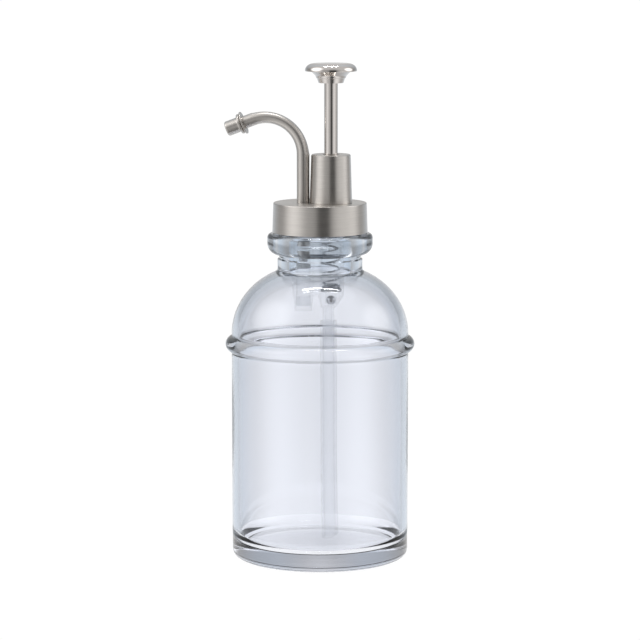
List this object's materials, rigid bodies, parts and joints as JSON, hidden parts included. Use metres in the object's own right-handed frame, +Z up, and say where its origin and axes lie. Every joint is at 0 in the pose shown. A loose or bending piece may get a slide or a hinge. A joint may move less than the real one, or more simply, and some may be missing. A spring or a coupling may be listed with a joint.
{
  "type": "soap pump dispenser",
  "caption": "Round glass soap dispenser with a domed shoulder, a satin metal screw lid, a fixed gooseneck spout and a sprung push-button pump.",
  "frame": {"origin": "centre of the bottle's flat base", "axes": "+Z up along the bottle's axis; the spout points along -X"},
  "size_m": [0.0776, 0.077, 0.2019],
  "materials": {
    "bottle_glass": "clear, faint blue grey",
    "satin_nickel": "satin, turned",
    "satin_tube": "satin, soft sheen",
    "polished_nickel": "bright nickel",
    "natural_plastic": "milky, see-through",
    "white_plastic": "moulded",
    "seal_foam": "soft",
    "seal_rubber": "matt",
    "spring_steel": "drawn wire",
    "ball_steel": "ground"
  },
  "bodies": {
    "bottle": {"bottle": "bottle_glass"},
    "rim_seal": {"rim_gasket": "seal_foam"},
    "lid": {"cap_shell": "satin_nickel", "cap_insert": "white_plastic", "tower_sleeve": "satin_nickel", "tower_lock_ring": "spring_steel", "guide_bush": "white_plastic", "rod_wiper": "seal_rubber", "spout_tube": "satin_tube", "spout_ferrule": "satin_tube", "spout_nozzle": "satin_tube", "spout_lock_ring": "spring_steel", "spout_o_ring": "seal_rubber", "pump_housing": "natural_plastic", "inlet_cage": "white_plastic", "outlet_seat": "white_plastic", "outlet_cage": "white_plastic", "outlet_plug": "natural_plastic", "dip_tube": "natural_plastic", "return_spring": "spring_steel"},
    "piston_slide": {"piston_seal": "seal_rubber"},
    "plunger": {"piston_core": "white_plastic", "plunger_rod": "polished_nickel", "button": "polished_nickel"},
    "inlet_valve": {"inlet_ball": "ball_steel"},
    "outlet_valve": {"outlet_ball": "ball_steel"}
  },
  "joints": [
    {"name": "lid_lift", "type": "slide", "parent": "bottle", "child": "rim_seal", "axis": [0, 0, 1], "range_m": [0, 0.0064]},
    {"name": "lid_turn", "type": "hinge", "parent": "rim_seal", "child": "lid", "pos_m": [0, 0, 0.14], "axis": [0, 0, 1], "range_deg": [0, 540]},
    {"name": "plunger_press", "type": "slide", "parent": "lid", "child": "piston_slide", "axis": [0, 0, -1], "range_m": [0, 0.022], "stiffness_N_per_m": 250, "springref_m": -0.02, "deforming": ["return_spring"]},
    {"name": "plunger_spin", "type": "hinge", "parent": "piston_slide", "child": "plunger", "pos_m": [0.00446, 0, 0.15], "axis": [0, 0, 1], "continuous": true},
    {"name": "inlet_ball_lift", "type": "slide", "parent": "lid", "child": "inlet_valve", "axis": [0, 0, 1], "range_m": [0, 0.0015]},
    {"name": "outlet_ball_lift", "type": "slide", "parent": "lid", "child": "outlet_valve", "axis": [0, 0, 1], "range_m": [0, 0.0015]}
  ],
  "couplings": [
    {"joint": "lid_lift", "follows": "lid_turn", "m_per_rad": 0.00066845}
  ]
}
